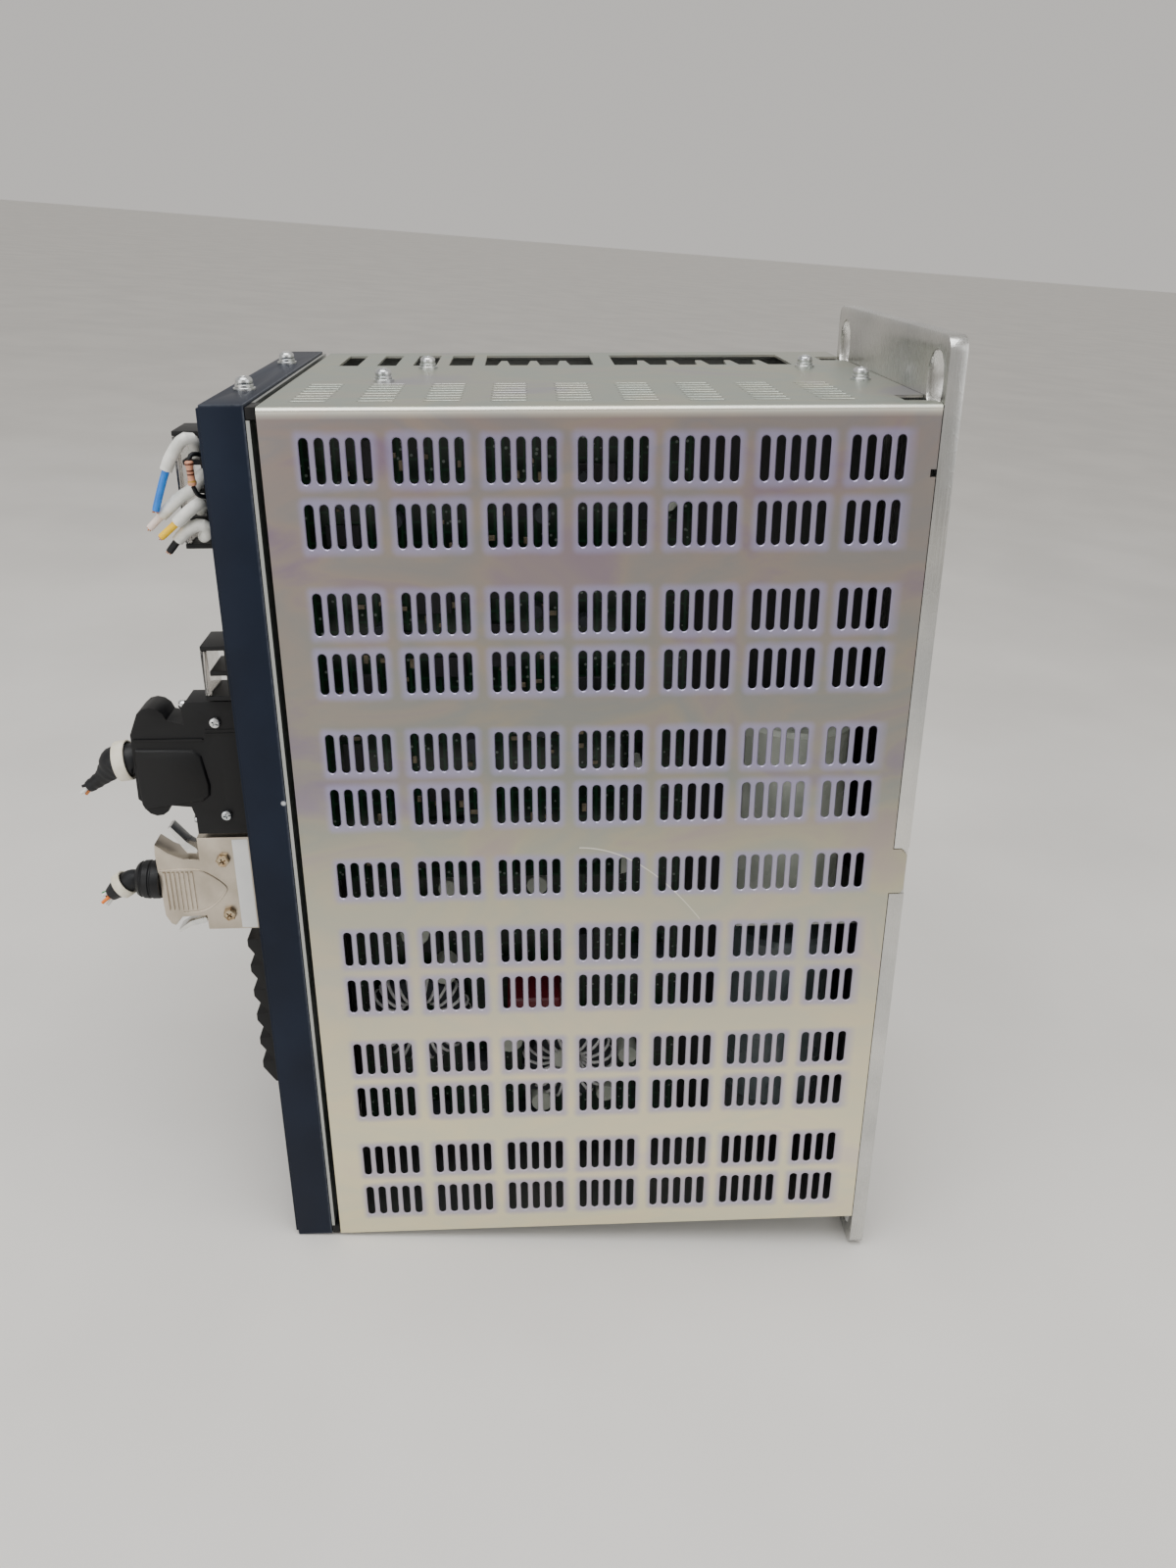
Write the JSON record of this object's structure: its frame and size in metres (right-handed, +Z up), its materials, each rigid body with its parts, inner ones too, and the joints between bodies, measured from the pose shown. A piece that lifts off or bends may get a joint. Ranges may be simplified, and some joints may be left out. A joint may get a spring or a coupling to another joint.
{
  "type": "variable frequency drive",
  "caption": "Wall-mounted variable frequency drive: vented sheet-metal case on an aluminium base plate, dark front panel, cable plugs, terminal blocks and a cooling fan.",
  "frame": {"origin": "centre of the base plate's rear face, which goes against the cabinet wall", "axes": "+Z up, front panel towards -Y, +Y out of the rear face, vented side towards +X"},
  "size_m": [0.203, 0.3684, 0.445],
  "materials": {
    "plate": "machined, mirror-like",
    "chromate": "zinc plate with yellow chromate, faintly iridescent",
    "galvanised": "zinc plate, satin",
    "bezel": "satin blue-grey paint",
    "black_plastic": "fine texture",
    "rubber": "matte",
    "clear": "clear moulded plastic",
    "board": "green solder mask",
    "nickel": "satin nickel",
    "spring": "bright",
    "screw": "bright zinc",
    "sleeve": "cream tube, blank",
    "lead": "white sleeve, coloured end",
    "resistor": "lacquered",
    "can": "pale grey sleeve",
    "relay": "maroon",
    "core": "wound ring",
    "sink": "extruded, satin"
  },
  "bodies": {
    "drive": {"base_plate": "plate", "bezel": "bezel", "board_post_1": "screw", "board_post_2": "screw", "board_post_3": "screw", "board_post_4": "screw", "capacitor_bracket": "galvanised", "chassis": "galvanised", "choke_1": "core", "choke_2": "core", "control_board": "board", "dc_capacitor_1": "can", "dc_capacitor_2": "can", "encoder_socket": "black_plastic", "fan_frame": "black_plastic", "front_plate": "galvanised", "gap_block_bottom": "black_plastic", "gap_block_top": "black_plastic", "heat_sink": "sink", "lead_black": "lead", "lead_blue": "lead", "lead_white": "lead", "lead_yellow": "lead", "main_relay": "relay", "middle_terminal_block": "black_plastic", "partition": "galvanised", "power_board": "board", "power_header": "black_plastic", "power_module": "black_plastic", "resistor": "resistor", "side_cover": "chromate", "signal_socket": "black_plastic", "top_screw_1": "screw", "top_screw_2": "screw", "top_screw_3": "screw", "top_screw_4": "screw", "top_screw_5": "screw", "top_screw_6": "screw", "upper_terminal_block": "black_plastic"},
    "upper_cover": {"upper_terminal_cover": "clear"},
    "middle_cover": {"middle_terminal_cover": "clear"},
    "signal_plug": {"signal_hood": "black_plastic", "hood_screw_1": "screw", "hood_screw_2": "screw", "signal_cable": "rubber", "signal_marker": "sleeve"},
    "jackscrew_1": {"jackscrew_1": "screw"},
    "jackscrew_2": {"jackscrew_2": "screw"},
    "encoder_plug": {"encoder_hood": "nickel", "hood_bolt_1": "nickel", "hood_bolt_2": "nickel", "encoder_boot": "rubber", "encoder_cable": "rubber", "encoder_marker": "sleeve"},
    "latch_1": {"latch_1": "spring"},
    "latch_2": {"latch_2": "spring"},
    "power_plug": {"power_plug": "black_plastic"},
    "fan_rotor": {"fan_rotor": "black_plastic"}
  },
  "joints": [
    {"name": "upper_cover_hinge", "type": "hinge", "parent": "drive", "child": "upper_cover", "pos_m": [0.0382, -0.3051, 0.1614], "axis": [0, 0, -1], "range_deg": [0, 110]},
    {"name": "middle_cover_hinge", "type": "hinge", "parent": "drive", "child": "middle_cover", "pos_m": [0.0382, -0.3051, 0.0835], "axis": [0, 0, -1], "range_deg": [0, 110]},
    {"name": "signal_plug_pull", "type": "slide", "parent": "drive", "child": "signal_plug", "axis": [0, -1, 0], "range_m": [0, 0.012]},
    {"name": "encoder_plug_pull", "type": "slide", "parent": "drive", "child": "encoder_plug", "axis": [0, -1, 0], "range_m": [0, 0.012]},
    {"name": "power_plug_pull", "type": "slide", "parent": "drive", "child": "power_plug", "axis": [0, -1, 0], "range_m": [0, 0.015]},
    {"name": "jackscrew_1_turn", "type": "hinge", "parent": "signal_plug", "child": "jackscrew_1", "pos_m": [0.048, -0.3185, 0.0657], "axis": [0, -1, 0], "continuous": true},
    {"name": "jackscrew_2_turn", "type": "hinge", "parent": "signal_plug", "child": "jackscrew_2", "pos_m": [0.048, -0.3185, 0.0097], "axis": [0, -1, 0], "continuous": true},
    {"name": "latch_1_squeeze", "type": "hinge", "parent": "encoder_plug", "child": "latch_1", "pos_m": [0.048, -0.3227, -0.0049], "axis": [1, 0, 0], "range_deg": [0, 10], "stiffness_Nm_per_rad": 0.1},
    {"name": "latch_2_squeeze", "type": "hinge", "parent": "encoder_plug", "child": "latch_2", "pos_m": [0.048, -0.3227, -0.0418], "axis": [-1, 0, 0], "range_deg": [0, 10], "stiffness_Nm_per_rad": 0.1},
    {"name": "fan_spin", "type": "hinge", "parent": "drive", "child": "fan_rotor", "pos_m": [-0.049, -0.1365, -0.1795], "axis": [0, 0, 1], "continuous": true}
  ]
}
